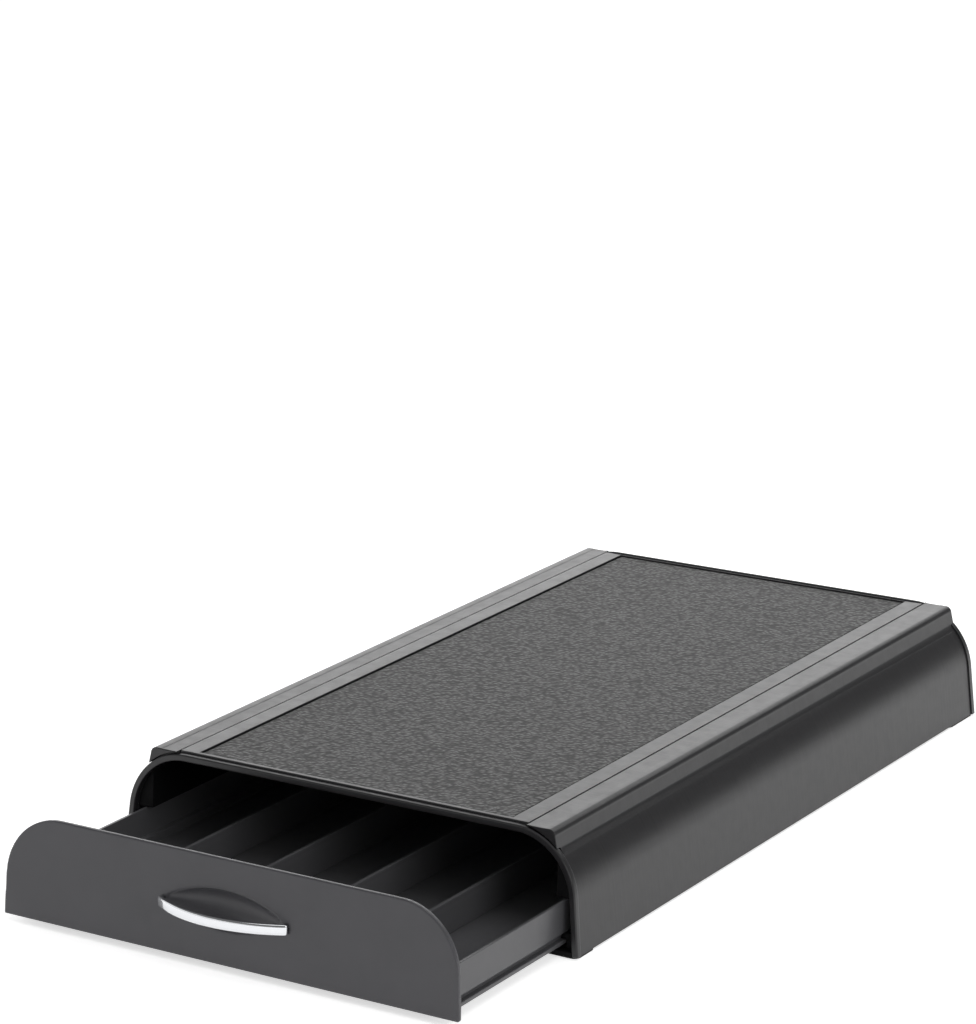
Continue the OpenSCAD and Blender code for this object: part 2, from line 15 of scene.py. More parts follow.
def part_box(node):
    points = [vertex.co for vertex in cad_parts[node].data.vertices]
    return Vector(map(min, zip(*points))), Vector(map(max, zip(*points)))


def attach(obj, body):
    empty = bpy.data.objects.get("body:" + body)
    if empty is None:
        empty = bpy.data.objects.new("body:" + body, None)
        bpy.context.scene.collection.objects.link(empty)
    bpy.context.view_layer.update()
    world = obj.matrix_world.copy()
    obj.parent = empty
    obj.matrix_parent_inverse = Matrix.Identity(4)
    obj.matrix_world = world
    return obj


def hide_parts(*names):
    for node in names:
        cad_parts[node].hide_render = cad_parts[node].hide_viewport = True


bl_info = {
    "name": "Coffee Pod Drawer",
    "version": (1, 0, 0),
    "blender": (4, 5, 0),
    "location": "3D View > Sidebar > Pod Drawer",
    "description": "Models and finishes the pieces of a coffee pod drawer",
    "category": "Object",
}

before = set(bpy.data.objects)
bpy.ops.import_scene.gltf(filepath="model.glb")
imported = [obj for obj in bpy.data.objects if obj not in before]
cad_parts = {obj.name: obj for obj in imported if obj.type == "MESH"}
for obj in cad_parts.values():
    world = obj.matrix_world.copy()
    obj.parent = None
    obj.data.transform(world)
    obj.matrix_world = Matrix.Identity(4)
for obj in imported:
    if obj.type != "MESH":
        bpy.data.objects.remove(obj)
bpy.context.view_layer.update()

# Lengths below are in metres where they are times MM, and in millimetres elsewhere,
# apart from those of the studio
MM = 0.001

HOUSING = "housing"
DRAWER = "drawer"
SIDES = ("left", "right")
CORNERS = ("front_left", "front_right", "rear_left", "rear_right")
LANE_DIVIDERS = 4

# The two bodies' own zero lines along Y, the base's level, the housing's length
# and the front's lean
HOUSING_Y = -137.4655
DRAWER_Y = -220.4655
BASE_Z = 0.8
HOUSING_LEN = 371
RAKE = math.radians(5)

# Where the skirt under the ridge meets the arch, and how its edge is told from others
CREASE_X = 105.94
CREASE_Z = 44.0
CREASE_REACH = 0.2
CREASE_MIN_LENGTH = 20 * MM
CREASE_SEGMENTS = 6

# Middle and half sizes of the finger scoop, along the upright front, and how far
# around it (beside, above and below, behind the face) its rim is softened
SCOOP_Z = 26.4
SCOOP_HALF = (29.5, 8.6)
SCOOP_MARGIN = (5, 4, 5)
FRONT_FACE_Y = -2.8

# Grain of the two remeshed pieces
FRONT_VOXEL = 0.5 * MM
FRONT_KEPT_FACES = 0.3
HANDLE_VOXEL = 0.28 * MM

# Mat: faces across and along, edge radius, and the faint waves of its top
MAT_FACES = (64, 142)
MAT_EDGE = 0.45 * MM
MAT_WAVE_ROOM = 0.1 * MM
MAT_WAVE_HEIGHT = 0.12 * MM
MAT_WAVE_WIDTH = 9 * MM

# Ring in each foot's sole: its distance from the edge, and its steps' width and depth
SOLE_REACH = 0.1 * MM
FOOT_RING_IN = 1.2 * MM
FOOT_RING_STEP = 0.5 * MM
FOOT_RING_DEPTH = 0.3 * MM
FOOT_EDGE = 0.15 * MM

# The back panel's edges against the other fine ones
BACK_EDGE_SHARE = 0.75

# Least part of a level face's normal along Z, and how near things count as level, as
# one point and as one plane
LEVEL_FACE = 0.9
LEVEL_REACH = 0.01 * MM
MERGE_REACH = 0.002 * MM
FLAT_ANGLE = math.radians(0.3)

# Edges that turn by more than this are rounded, or stay sharp in the shading, which
# otherwise follows the larger faces
EDGE_ANGLE = math.radians(30)
SHELL_EDGE_ANGLE = math.radians(50)
SMOOTH_ANGLE = math.radians(50)
SCREW_SMOOTH_ANGLE = math.radians(28)
LARGE_FACE_WEIGHT = 80

# Sockets of a Mix node, for values and for colours
MIX_FACTOR = 0
VALUE_A, VALUE_B, VALUE_OUT = 2, 3, 0
COLOUR_A, COLOUR_B, COLOUR_OUT = 6, 7, 2

# How far a plastic's roughness and colour vary
GLOSS_SPREAD = 0.03
PLASTIC_SPREAD = 0.07

# Area lamps: name, place, size and power
SOFTBOXES = (
    ("softbox_behind", (-1.05, 1.60, 0.60), (1.9, 1.0), 7.8),
    ("softbox_high", (0.15, 1.75, 1.20), (1.4, 0.3), 4),
    ("softbox_above", (0.3, 0.0, 1.9), (1.6, 1.6), 9),
    ("softbox_right", (1.7, -0.5, 0.9), (1.0, 0.8), 7),
)
LAMP_AIM = Vector((0, 0, 0.03))

# The world's strength: low down, high up, and the two upward slopes between which it
# changes. For mirrored light the slope also grows to the right.
DIFFUSE_SKY = (0.78, 0.40, 0.0, 0.25)
MIRRORED_SKY = (1.0, 0.18, 0.08, 0.30)
MIRRORED_SLANT = 0.4

# Glow of the floor: near the drawer, away from it, and the two distances
FLOOR_GLOW = (0.60, 0.64, 0.35, 1.4)
FLOOR_RADIUS = 30
FLOOR_CORNERS = 96

CAMERA_PLACE = (0.9065, -1.41317, 0.6094)
CAMERA_AZIMUTH = math.radians(33.03)
CAMERA_ELEVATION = math.radians(15.54)
CAMERA_ROLL = math.radians(-0.80)
CAMERA_LENS = 137.3
CAMERA_SENSOR = 36
CAMERA_CLIP = 0.05


class Screw(NamedTuple):
    """A kind of screw, in millimetres, and where its heads sit on the right side.

    The drawer's screws lean with its front.
    """

    body: str
    shank_radius: float
    head_radius: float
    head_height: float
    shank_length: float
    way: str
    seats: list


def screw_rows(margin, count):
    """Places of a row of screws along the housing, with a margin at each end."""
    step = (HOUSING_LEN - 2 * margin) / (count - 1)
    return [margin + step * i for i in range(count)]


SCREWS = {
    "deck_screws": Screw(
        HOUSING, 1.3, 2.8, 1.6, 4.1, "up", [(86, y, 48.1) for y in screw_rows(24, 5)]
    ),
    "base_screws": Screw(
        HOUSING, 1.1, 2.1, 0.9, 5.7, "up", [(112.226, y, 1.7) for y in screw_rows(32, 4)]
    ),
    "back_screws": Screw(
        HOUSING, 1.3, 2.8, 1.0, 9.2, "forward", [(109.211, 370, 18.7), (55, 370, 46.2)]
    ),
    "front_screws": Screw(
        DRAWER, 1.4, 3.1, 1.5, 3.9, "forward", [(45, 1.9, 15.45), (88.24, 1.9, 15.45)]
    ),
    "handle_screws": Screw(
        DRAWER, 0.8, 1.8, 1.2, 4.1, "forward", [(31.4, -0.3, 24.8)]
    ),
}
SCREW_SIDES = 28
SCREW_MERGE_REACH = 0.001 * MM

# Outline of a pan head, in shares of its radius and of its height
PAN_HEAD = ((0, 1), (0.55, 1), (0.82, 0.82), (0.97, 0.45), (1, 0.1), (1, 0))

# Thread: its root in shares of the shank's radius, and the root's place in a pitch
THREAD_ROOT = 0.78
ROOT_PLACE = 0.45

# Tip, in shares of the shank's radius: its length, and how far its shoulder lies from
# the axis and from the end
TIP_LENGTH = 1.2
TIP_SHOULDER = (0.5, 0.4)

# Cross recess: one bar's size in shares of the head, and how its ground narrows
RECESS = (1.1, 0.24, 1.1)
RECESS_TAPER = (0.45, 0.6, 1)


class PodDrawerSizes(bpy.types.PropertyGroup):
    """Sizes of the details that the finished pieces add to the frame."""

    edge: bpy.props.FloatProperty(
        name="Edge rounding", description="Radius on the moulded pieces' edges",
        default=0.3 * MM, min=0.05 * MM, max=0.4 * MM, unit="LENGTH",
    )
    fine_edge: bpy.props.FloatProperty(
        name="Fine rounding", description="Radius on the edges of the thin and inner pieces",
        default=0.2 * MM, min=0.05 * MM, max=0.25 * MM, unit="LENGTH",
    )
    rim_edge: bpy.props.FloatProperty(
        name="Rim rounding", description="Radius on the arch rims' edges",
        default=0.7 * MM, min=0.05 * MM, max=1.2 * MM, unit="LENGTH",
    )
    crease: bpy.props.FloatProperty(
        name="Crease fillet", description="Width of the fillet where the skirt meets the arch",
        default=3.6 * MM, min=0.2 * MM, max=4 * MM, unit="LENGTH",
    )
    scoop_rim: bpy.props.IntProperty(
        name="Scoop softness", description="How often the scoop's rim is smoothed",
        default=10, min=0, max=40,
    )
    handle_softness: bpy.props.IntProperty(
        name="Handle softness", description="How often the handle's edges are smoothed",
        default=90, min=0, max=120,
    )
    pebble: bpy.props.FloatProperty(
        name="Mat grain", description="Width of one pebble of the mat's grain",
        default=2.1 * MM, min=0.3 * MM, max=4 * MM, unit="LENGTH",
    )
    pitch: bpy.props.FloatProperty(
        name="Thread pitch", description="Distance between the screws' threads",
        default=0.8 * MM, min=0.4 * MM, max=2 * MM, unit="LENGTH",
    )


class PodDrawerColours(bpy.types.PropertyGroup):
    """Colours of the finishes."""

    shell: bpy.props.FloatVectorProperty(
        name="Housing", description="Moulded shells, rims and deck",
        default=(0.017, 0.0165, 0.018), min=0, max=1, subtype="COLOR",
    )
    front: bpy.props.FloatVectorProperty(
        name="Drawer front", description="Moulded front of the drawer",
        default=(0.064, 0.063, 0.070), min=0, max=1, subtype="COLOR",
    )
    tray: bpy.props.FloatVectorProperty(
        name="Tray", description="Moulded tray and lane dividers",
        default=(0.088, 0.088, 0.093), min=0, max=1, subtype="COLOR",
    )
    # Near black, darker than the housing: the parts' own dark plastic, deepened as painted
    # shade inside the housing
    dark: bpy.props.FloatVectorProperty(
        name="Inner parts", description="Guides, runners, stops and base",
        default=(0.005, 0.005, 0.0055), min=0, max=1, subtype="COLOR",
    )
    mat: bpy.props.FloatVectorProperty(
        name="Mat", description="Grained vinyl of the mat",
        default=(0.0300, 0.0295, 0.0295), min=0, max=1, subtype="COLOR",
    )
    rubber: bpy.props.FloatVectorProperty(
        name="Feet", description="Rubber of the feet",
        default=(0.016, 0.016, 0.016), min=0, max=1, subtype="COLOR",
    )
    chrome: bpy.props.FloatVectorProperty(
        name="Handle", description="Chrome plate of the handle",
        default=(0.72, 0.73, 0.75), min=0, max=1, subtype="COLOR",
    )
    steel: bpy.props.FloatVectorProperty(
        name="Screws", description="Zinc plate of the screws",
        default=(0.45, 0.45, 0.46), min=0, max=1, subtype="COLOR",
    )
    floor: bpy.props.FloatVectorProperty(
        name="Floor", description="Pale floor of the studio",
        default=(0.90, 0.90, 0.90), min=0, max=1, subtype="COLOR",
    )


# Selecting and shaping


def deselect():
    """Clears the selection in object mode."""
    if bpy.context.object and bpy.context.object.mode != "OBJECT":
        bpy.ops.object.mode_set(mode="OBJECT")
    bpy.ops.object.select_all(action="DESELECT")


def pick(piece):
    """Makes a piece the only selected one."""
    deselect()
    piece.select_set(True)
    bpy.context.view_layer.objects.active = piece


def edit(piece, mode="FACE"):
    """Opens a piece for editing, with nothing in it selected."""
    pick(piece)
    bpy.ops.object.mode_set(mode="EDIT")
    bpy.ops.mesh.select_mode(type=mode)
    bpy.ops.mesh.select_all(action="DESELECT")


def choose(piece, kind, test):
    """Selects in edit mode the edges or faces that pass a test."""
    mesh = bmesh.from_edit_mesh(piece.data)
    mesh.normal_update()
    chosen = [item for item in getattr(mesh, kind) if test(item)]
    for item in chosen:
        item.select_set(True)
    mesh.select_flush_mode()
    bmesh.update_edit_mesh(piece.data)
    return len(chosen)


def close():
    """Ends the editing of a piece."""
    bpy.ops.object.mode_set(mode="OBJECT")


def apply(piece, kind, **settings):
    """Adds a modifier with its settings and applies it."""
    pick(piece)
    bpy.ops.object.modifier_add(type=kind)
    modifier = piece.modifiers[-1]
    for name, value in settings.items():
        setattr(modifier, name, value)
    bpy.ops.object.modifier_apply(modifier=modifier.name)


def merged_copy(node, name):
    """A copy of a CAD node whose loose triangles are merged into clean faces."""
    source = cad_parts[node]
    piece = source.copy()
    piece.data = source.data.copy()
    piece.name = name
    piece.data.name = name
    bpy.context.scene.collection.objects.link(piece)
    piece.parent = None
    for key in list(piece.keys()):
        if key.startswith("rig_"):
            del piece[key]
    edit(piece, "VERT")
    bpy.ops.mesh.select_all(action="SELECT")
    bpy.ops.mesh.remove_doubles(threshold=MERGE_REACH)
    bpy.ops.mesh.dissolve_limited(angle_limit=FLAT_ANGLE)
    close()
    return piece


def round_edges(piece, width, segments=3, angle=EDGE_ANGLE):
    """Rounds the edges of a piece that turn by more than an angle."""
    pick(piece)
    bpy.ops.object.shade_smooth()
    apply(
        piece, "BEVEL", width=width, segments=segments, limit_method="ANGLE",
        angle_limit=angle, use_clamp_overlap=False, harden_normals=True,
    )


def round_chosen(piece, test, width, segments):
    """Rounds the edges of a piece that pass a test, and tells how many there were."""
    edit(piece, "EDGE")
    count = choose(piece, "edges", test)
    bpy.ops.mesh.bevel(offset=width, segments=segments)
    close()
    return count


def settle(piece):
    """Gives a piece smooth shading that follows its larger faces."""
    pick(piece)
    bpy.ops.object.shade_smooth_by_angle(angle=SMOOTH_ANGLE)
    apply(
        piece, "WEIGHTED_NORMAL", mode="FACE_AREA", weight=LARGE_FACE_WEIGHT, keep_sharp=True
    )


def lean(piece, back=False):
    """Stands the leaning front's pieces upright, or leans them again."""
    pivot = Matrix.Translation((0, DRAWER_Y * MM, BASE_Z * MM))
    turn = Matrix.Rotation(-RAKE if back else RAKE, 4, "X")
    piece.data.transform(pivot @ turn @ pivot.inverted())


def dress(piece, body, slot, material, *nodes):
    """Gives a piece its finish, its body and the CAD nodes that it stands for."""
    piece.data.materials.clear()
    piece.data.materials.append(material)
    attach(piece, body)
    if nodes:
        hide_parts(*nodes)


def moulding(node, body, slot, material, width):
    """A moulded piece with rounded edges that stands for one CAD node."""
    piece = merged_copy(node, node + "_moulding")
    round_edges(piece, width)
    settle(piece)
    dress(piece, body, slot, material, node)


# Finishes


class Nodes:
    """A material's node tree, with short ways to add and join nodes."""

    def __init__(self, name):
        self.material = bpy.data.materials.get(name) or bpy.data.materials.new(name)
        self.material.use_nodes = True
        self.tree = self.material.node_tree
        self.tree.nodes.clear()
        self.shader = self.add("ShaderNodeBsdfPrincipled")
        self.add("ShaderNodeOutputMaterial", {"Surface": self.shader.outputs["BSDF"]})
        self.place = self.add("ShaderNodeTexCoord").outputs["Object"]

    def add(self, kind, links=(), **values):
        """Adds a node, sets its sockets and properties and joins its inputs."""
        node = self.tree.nodes.new(kind)
        for key, value in values.items():
            if hasattr(node, key):
                setattr(node, key, value)
            else:
                node.inputs[key.replace("_", " ")].default_value = value
        for key, source in dict(links).items():
            self.tree.links.new(source, node.inputs[key])
        return node

    def feed(self, **sources):
        """Joins outputs to the shader's inputs."""
        for key, source in sources.items():
            self.tree.links.new(source, self.shader.inputs[key.replace("_", " ")])

    def set(self, **values):
        """Sets constants on the shader's own sockets."""
        for key, value in values.items():
            self.shader.inputs[key.replace("_", " ")].default_value = value

    def noise(self, size, detail=2.0, stretch=None):
        """Noise whose blobs are about as wide as size, drawn out along an axis."""
        place = self.place
        if stretch:
            place = self.add("ShaderNodeMapping", {"Vector": place}, Scale=stretch).outputs[0]
        return self.add(
            "ShaderNodeTexNoise", {"Vector": place}, Scale=1 / size, Detail=detail
        ).outputs["Fac"]

    def ramp(self, value, low, high, start=0.3, end=0.7):
        """Carries a value from start to end over to low to high."""
        return self.add(
            "ShaderNodeMapRange", {"Value": value}, From_Min=start, From_Max=end,
            To_Min=low, To_Max=high,
        ).outputs["Result"]

    def tint(self, value, colour, spread):
        """A colour that turns darker and lighter with a value."""
        mix = self.add("ShaderNodeMix", data_type="RGBA")
        mix.inputs[COLOUR_A].default_value = (*[c * (1 - spread) for c in colour], 1)
        mix.inputs[COLOUR_B].default_value = (*[c * (1 + spread) for c in colour], 1)
        self.tree.links.new(value, mix.inputs[MIX_FACTOR])
        return mix.outputs[COLOUR_OUT]

    def bump(self, height, depth, strength=1.0, under=None):
        """Bump of a height in metres, over an earlier bump."""
        links = {"Height": height}
        if under:
            links["Normal"] = under
        return self.add(
            "ShaderNodeBump", links, Distance=depth, Strength=strength
        ).outputs["Normal"]


def plastic(name, colour, roughness, grain=0.35, depth=0.012, waves=0.0, ior=1.5):
    """Moulded plastic: spark-eroded grain, faint flow marks and uneven gloss."""
    nodes = Nodes(name)
    nodes.set(Metallic=0, IOR=ior)
    flow = nodes.noise(28 * MM, detail=3, stretch=(1, 0.35, 1))
    nodes.feed(Base_Color=nodes.tint(nodes.ramp(flow, 0, 1), colour, PLASTIC_SPREAD))
    gloss = nodes.ramp(
        nodes.noise(5 * MM), roughness - GLOSS_SPREAD, roughness + GLOSS_SPREAD
    )
    relief = None
    if waves:
        ripples = nodes.noise(1.8 * MM, stretch=(0.03, 1, 0.03))
        relief = nodes.bump(ripples, waves * MM)
    relief = nodes.bump(nodes.noise(grain * MM), depth * MM, under=relief)
    nodes.feed(Roughness=gloss, Normal=relief)
    return nodes.material


def vinyl(name, colour, pebble):
    """Grained vinyl: pebbles with creases between them, glossier on top as if a little worn,
    and painted shade: its colour is darker in the creases and lighter on the pebbles' tops.
    """
    nodes = Nodes(name)
    nodes.set(Metallic=0, IOR=1.45)
    warp = nodes.add(
        "ShaderNodeTexNoise", {"Vector": nodes.place}, Scale=1 / (2.5 * pebble), Detail=2.0
    ).outputs["Color"]
    shifted = nodes.add(
        "ShaderNodeMix", {COLOUR_A: nodes.place, COLOUR_B: warp}, data_type="RGBA",
        blend_type="LINEAR_LIGHT",
    )
    shifted.inputs[MIX_FACTOR].default_value = 0.9 * pebble
    cells = nodes.add(
        "ShaderNodeTexVoronoi", {"Vector": shifted.outputs[COLOUR_OUT]},
        feature="SMOOTH_F1", Scale=1 / pebble, Smoothness=0.35,
    ).outputs["Distance"]
    dome = nodes.ramp(cells, 1, 0, start=0.1, end=0.75)
    # Painted shade and light: the colour darkens in the creases between pebbles and lightens
    # on the pebbles' tops
    nodes.feed(Base_Color=nodes.tint(dome, colour, spread=0.4))
    nodes.feed(Roughness=nodes.ramp(dome, 0.62, 0.44, start=0, end=1))
    coarse = nodes.bump(dome, 0.24 * MM)
    nodes.feed(Normal=nodes.bump(nodes.noise(0.3 * MM), 0.012 * MM, under=coarse))
    return nodes.material


def rubber(name, colour):
    """Matte rubber with a fine bloom."""
    nodes = Nodes(name)
    nodes.set(Metallic=0, IOR=1.5)
    nodes.feed(
        Base_Color=nodes.tint(
            nodes.ramp(nodes.noise(6 * MM, detail=3), 0, 1), colour, spread=0.25
        ),
        Roughness=nodes.ramp(nodes.noise(2 * MM, detail=3), 0.72, 0.9),
        Normal=nodes.bump(nodes.noise(0.25 * MM), 0.02 * MM),
    )
    return nodes.material


def chrome(name, colour):
    """Bright plate: nearly a mirror, with faint polishing marks."""
    nodes = Nodes(name)
    nodes.set(Metallic=1)
    nodes.feed(
        Base_Color=nodes.tint(nodes.ramp(nodes.noise(15 * MM), 0, 1), colour, spread=0.02),
        Roughness=nodes.ramp(
            nodes.noise(0.6 * MM, detail=3, stretch=(0.08, 1, 1)), 0.05, 0.11
        ),
        Normal=nodes.bump(nodes.noise(4 * MM, detail=1), 0.01 * MM, strength=0.5),
    )
    return nodes.material


def zinc(name, colour):
    """Zinc plate: slightly mottled and brushed by handling."""
    nodes = Nodes(name)
    nodes.set(Metallic=1)
    nodes.feed(
        Base_Color=nodes.tint(
            nodes.ramp(nodes.noise(1.2 * MM, detail=3), 0, 1), colour, spread=0.12
        ),
        Roughness=nodes.ramp(nodes.noise(0.5 * MM, detail=3), 0.28, 0.45),
        Normal=nodes.bump(nodes.noise(0.2 * MM), 0.006 * MM),
    )
    return nodes.material


def housing_finish(context):
    """Satin plastic of the shells, rims and deck."""
    return plastic("housing_satin", context.scene.pod_colours.shell, 0.34, waves=0.03)


def inner_finish(context):
    """Dull plastic of the pieces inside the housing, near black: partly their own dark
    plastic, partly painted shade of the housing's inside.
    """
    return plastic(
        "inner_matte", context.scene.pod_colours.dark, 0.8, grain=0.5, depth=0.02, ior=1.25
    )


# Pieces


class PODDRAWER_OT_stage(bpy.types.Operator):
    """Lays the floor and sets the lights and the camera"""

    bl_idname = "poddrawer.stage"
    bl_label = "Studio"

    def execute(self, context):
        self.lay_floor(context.scene.pod_colours.floor)
        self.fill_world(context.scene)
        for name, place, size, power in SOFTBOXES:
            deselect()
            bpy.ops.object.light_add(type="AREA", location=place)
            lamp = context.object
            lamp.name = name
            lamp.data.shape = "RECTANGLE"
            lamp.data.size, lamp.data.size_y = size
            lamp.data.energy = power
            aim = (LAMP_AIM - Vector(place)).to_track_quat("-Z", "Y")
            lamp.rotation_euler = aim.to_euler()
        self.place_camera(context)
        context.scene.view_settings.view_transform = "Standard"
        return {"FINISHED"}

    def lay_floor(self, colour):
        """A pale floor that turns to white away from the drawer."""
        deselect()
        bpy.ops.mesh.primitive_circle_add(
            vertices=FLOOR_CORNERS, radius=FLOOR_RADIUS, fill_type="NGON"
        )
        floor = bpy.context.object
        floor.name = "floor"
        nodes = Nodes("pale_floor")
        nodes.set(
            Roughness=0.9, Specular_IOR_Level=0.2, Base_Color=(*colour, 1),
            Emission_Color=(1, 1, 1, 1),
        )
        away = nodes.add(
            "ShaderNodeVectorMath", {0: nodes.place}, operation="LENGTH"
        ).outputs["Value"]
        glow = nodes.add(
            "ShaderNodeMath", {0: nodes.ramp(away, *FLOOR_GLOW), 1: self.seen(nodes.tree)},
            operation="MULTIPLY",
        ).outputs[0]
        nodes.feed(Emission_Strength=glow)
        floor.data.materials.append(nodes.material)

    @staticmethod
    def seen(tree):
        """1 for what is seen directly, in a mirror or through glass."""
        path = tree.nodes.new("ShaderNodeLightPath")
        total = path.outputs["Is Camera Ray"]
        for ray in ("Is Glossy Ray", "Is Transmission Ray"):
            either = tree.nodes.new("ShaderNodeMath")
            either.operation = "MAXIMUM"
            tree.links.new(total, either.inputs[0])
            tree.links.new(path.outputs[ray], either.inputs[1])
            total = either.outputs[0]
        return total

    def fill_world(self, scene):
        """White when seen directly; elsewhere dimmer overhead and to the right."""
        world = bpy.data.worlds.new("studio")
        scene.world = world
        world.use_nodes = True
        tree = world.node_tree
        path = tree.nodes.new("ShaderNodeLightPath")
        strength = self.sky(tree, 0, *DIFFUSE_SKY)
        for ray, seen in (
            ("Is Glossy Ray", self.sky(tree, MIRRORED_SLANT, *MIRRORED_SKY)),
            ("Is Transmission Ray", None),
            ("Is Camera Ray", None),
        ):
            mix = tree.nodes.new("ShaderNodeMix")
            mix.inputs[VALUE_B].default_value = 1
            tree.links.new(path.outputs[ray], mix.inputs[MIX_FACTOR])
            tree.links.new(strength, mix.inputs[VALUE_A])
            if seen:
                tree.links.new(seen, mix.inputs[VALUE_B])
            strength = mix.outputs[VALUE_OUT]
        background = tree.nodes["Background"]
        background.inputs["Color"].default_value = (1, 1, 1, 1)
        tree.links.new(strength, background.inputs["Strength"])

    @staticmethod
    def sky(tree, slant, below, above, low, high):
        """A strength that goes from below to above between two heights."""
        place = tree.nodes.new("ShaderNodeTexCoord")
        height = tree.nodes.new("ShaderNodeVectorMath")
        height.operation = "DOT_PRODUCT"
        height.inputs[1].default_value = (slant, 0, 1)
        tree.links.new(place.outputs["Generated"], height.inputs[0])
        rise = tree.nodes.new("ShaderNodeMapRange")
        rise.interpolation_type = "SMOOTHSTEP"
        for key, value in (
            ("From Min", low), ("From Max", high), ("To Min", below), ("To Max", above)
        ):
            rise.inputs[key].default_value = value
        tree.links.new(height.outputs["Value"], rise.inputs["Value"])
        return rise.outputs["Result"]

    def place_camera(self, context):
        """The camera stands to the right of the front and looks slightly down."""
        deselect()
        bpy.ops.object.camera_add()
        camera = context.object
        camera.name = "camera"
        across, along = math.cos(CAMERA_AZIMUTH), math.sin(CAMERA_AZIMUTH)
        level, height = math.cos(CAMERA_ELEVATION), math.sin(CAMERA_ELEVATION)
        right = Vector((across, along, 0))
        back = Vector((along * level, -across * level, height))
        up = back.cross(right)
        x_axis = math.cos(CAMERA_ROLL) * right + math.sin(CAMERA_ROLL) * up
        y_axis = -math.sin(CAMERA_ROLL) * right + math.cos(CAMERA_ROLL) * up
        turn = Matrix((x_axis, y_axis, back)).transposed().to_4x4()
        camera.matrix_world = Matrix.Translation(CAMERA_PLACE) @ turn
        camera.data.lens = CAMERA_LENS
        camera.data.sensor_width = CAMERA_SENSOR
        camera.data.clip_start = CAMERA_CLIP
        context.scene.camera = camera


class PODDRAWER_OT_shells(bpy.types.Operator):
    """Rounds the side shells and fills the crease under their ridge"""

    bl_idname = "poddrawer.shells"
    bl_label = "Side shells"

    def execute(self, context):
        sizes = context.scene.pod_sizes
        for side in SIDES:
            node = "side_shell_" + side
            shell = merged_copy(node, node + "_moulding")
            if not round_chosen(shell, self.in_crease, sizes.crease, CREASE_SEGMENTS):
                raise RuntimeError("the crease under the ridge wasn't found")
            round_edges(shell, sizes.edge, angle=SHELL_EDGE_ANGLE)
            settle(shell)
            dress(shell, HOUSING, "shell_plastic", housing_finish(context), node)
        return {"FINISHED"}

    @staticmethod
    def in_crease(edge):
        """Whether an edge runs where the skirt meets the arch."""
        ends = [v.co for v in edge.verts]
        near = all(
            math.hypot(abs(p.x) / MM - CREASE_X, p.z / MM - CREASE_Z) < CREASE_REACH
            for p in ends
        )
        return near and (ends[0] - ends[1]).length > CREASE_MIN_LENGTH


class PODDRAWER_OT_rims(bpy.types.Operator):
    """Rounds the two arch rims and the back panel"""

    bl_idname = "poddrawer.rims"
    bl_label = "Rims and back"

    def execute(self, context):
        sizes = context.scene.pod_sizes
        finish = housing_finish(context)
        moulding("front_rim", HOUSING, "shell_plastic", finish, sizes.rim_edge)
        back_edge = BACK_EDGE_SHARE * sizes.fine_edge
        moulding("back_panel", HOUSING, "shell_plastic", finish, back_edge)
        rear = merged_copy("rear_rim", "rear_rim_moulding")
        level = max(v.co.y for v in rear.data.vertices) - LEVEL_REACH

        def on_rear_face(edge):
            """Whether a sharp edge bounds the rim's rear face."""
            return edge.calc_face_angle(0) > 1 and min(v.co.y for v in edge.verts) > level

        round_chosen(rear, on_rear_face, sizes.rim_edge, 3)
        settle(rear)
        dress(rear, HOUSING, "shell_plastic", finish, "rear_rim")
        return {"FINISHED"}


class PODDRAWER_OT_deck(bpy.types.Operator):
    """Rounds the deck panel's edges a little"""

    bl_idname = "poddrawer.deck"
    bl_label = "Deck panel"

    def execute(self, context):
        moulding(
            "deck_panel", HOUSING, "shell_plastic", housing_finish(context),
            context.scene.pod_sizes.fine_edge,
        )
        return {"FINISHED"}


class PODDRAWER_OT_mat(bpy.types.Operator):
    """Models the mat as a sheet with rounded edges and a faintly uneven top"""

    bl_idname = "poddrawer.mat"
    bl_label = "Mat"

    def execute(self, context):
        low, high = (Vector(corner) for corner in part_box("deck_mat"))
        size = high - low
        deselect()
        bpy.ops.mesh.primitive_grid_add(
            x_subdivisions=MAT_FACES[0], y_subdivisions=MAT_FACES[1], size=1,
            location=((low.x + high.x) / 2, (low.y + high.y) / 2, low.z),
        )
        mat = context.object
        mat.name = mat.data.name = "deck_mat_vinyl"
        edit(mat)
        bpy.ops.mesh.select_all(action="SELECT")
        bpy.ops.transform.resize(value=(size.x, size.y, 1))
        bpy.ops.mesh.extrude_region_move(
            TRANSFORM_OT_translate={"value": (0, 0, size.z - MAT_WAVE_ROOM)}
        )
        bpy.ops.mesh.select_all(action="SELECT")
        bpy.ops.mesh.normals_make_consistent(inside=False)
        bpy.ops.mesh.select_all(action="DESELECT")
        choose(mat, "faces", lambda face: face.normal.z < -LEVEL_FACE)
        bpy.ops.mesh.dissolve_faces()
        close()
        bpy.ops.object.transform_apply(location=True, rotation=True, scale=True)
        edit(mat, "EDGE")
        choose(mat, "edges", self.on_rim)
        bpy.ops.mesh.bevel(offset=MAT_EDGE, segments=4)
        close()
        top = mat.vertex_groups.new(name="top")
        level = max(v.co.z for v in mat.data.vertices)
        top.add([v.index for v in mat.data.vertices if v.co.z > level - LEVEL_REACH], 1, "ADD")
        waves = bpy.data.textures.new("mat_waves", "CLOUDS")
        waves.noise_scale = MAT_WAVE_WIDTH
        apply(
            mat, "DISPLACE", texture=waves, texture_coords="LOCAL", direction="Z",
            vertex_group="top", strength=MAT_WAVE_HEIGHT, mid_level=0.5,
        )
        settle(mat)
        dress(
            mat, HOUSING, "mat",
            vinyl("mat_vinyl", context.scene.pod_colours.mat, context.scene.pod_sizes.pebble),
            "deck_mat",
        )
        return {"FINISHED"}

    @staticmethod
    def on_rim(edge):
        """Whether an edge is one of the top's outer edges."""
        slopes = sorted(face.normal.z for face in edge.link_faces)
        return (
            len(slopes) == 2 and slopes[1] - slopes[0] > LEVEL_FACE
            and slopes[1] > LEVEL_FACE
        )


